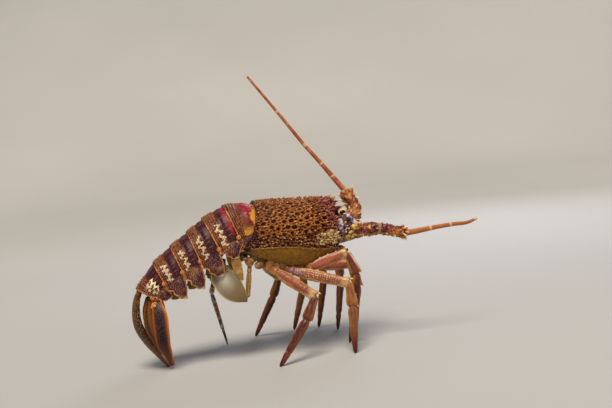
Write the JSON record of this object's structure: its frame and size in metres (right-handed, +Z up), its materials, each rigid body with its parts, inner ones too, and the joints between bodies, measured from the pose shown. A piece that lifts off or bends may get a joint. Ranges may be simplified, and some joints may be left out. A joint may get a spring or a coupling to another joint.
{
  "type": "spiny lobster figure",
  "caption": "Life-size spiny lobster standing on its legs with its tail bent down so that the tail fan rests on the floor, one antenna held ahead and one swept up and back.",
  "frame": {"origin": "middle of the footprint's box, on the floor", "axes": "+X the way the head points, +Y the animal's left side, +Z up"},
  "size_m": [0.4038, 0.184, 0.3198],
  "materials": {
    "eye": "glossy black",
    "limb": "satin shell, salmon orange",
    "pale": "soft translucent greenish white",
    "shell": "satin shell, orange-brown with dark spots and plates",
    "underside": "satin shell, ochre"
  },
  "bodies": {
    "root": {"abdomen_1": "shell", "abdomen_2": "shell", "abdomen_3": "shell", "abdomen_4": "shell", "abdomen_5": "shell", "abdomen_6": "shell", "antenna_left_base": "shell", "antenna_left_upper": "shell", "antenna_left_whip": "limb", "antenna_right_base": "shell", "antenna_right_upper": "shell", "antenna_right_whip": "limb", "carapace": "shell", "eye_left": "eye", "eye_right": "eye", "feeler_left": "limb", "feeler_right": "limb", "head_front": "shell", "leg_left_1_lower": "limb", "leg_left_1_upper": "limb", "leg_left_2_lower": "limb", "leg_left_2_upper": "limb", "leg_left_3_lower": "limb", "leg_left_3_upper": "limb", "leg_left_4_lower": "limb", "leg_left_4_upper": "limb", "leg_left_5_lower": "limb", "leg_left_5_upper": "limb", "leg_right_1_lower": "limb", "leg_right_1_upper": "limb", "leg_right_2_lower": "limb", "leg_right_2_upper": "limb", "leg_right_3_lower": "limb", "leg_right_3_upper": "limb", "leg_right_4_lower": "limb", "leg_right_4_upper": "limb", "leg_right_5_lower": "limb", "leg_right_5_upper": "limb", "mouth_leg_left": "limb", "mouth_leg_right": "limb", "sternum": "underside", "swimmeret_left_2": "pale", "swimmeret_left_3": "pale", "swimmeret_left_4": "pale", "swimmeret_left_5": "pale", "swimmeret_right_2": "pale", "swimmeret_right_3": "pale", "swimmeret_right_4": "pale", "swimmeret_right_5": "pale", "telson": "shell", "uropod_inner_left": "shell", "uropod_inner_right": "shell", "uropod_outer_left": "shell", "uropod_outer_right": "shell"}
  },
  "joints": []
}
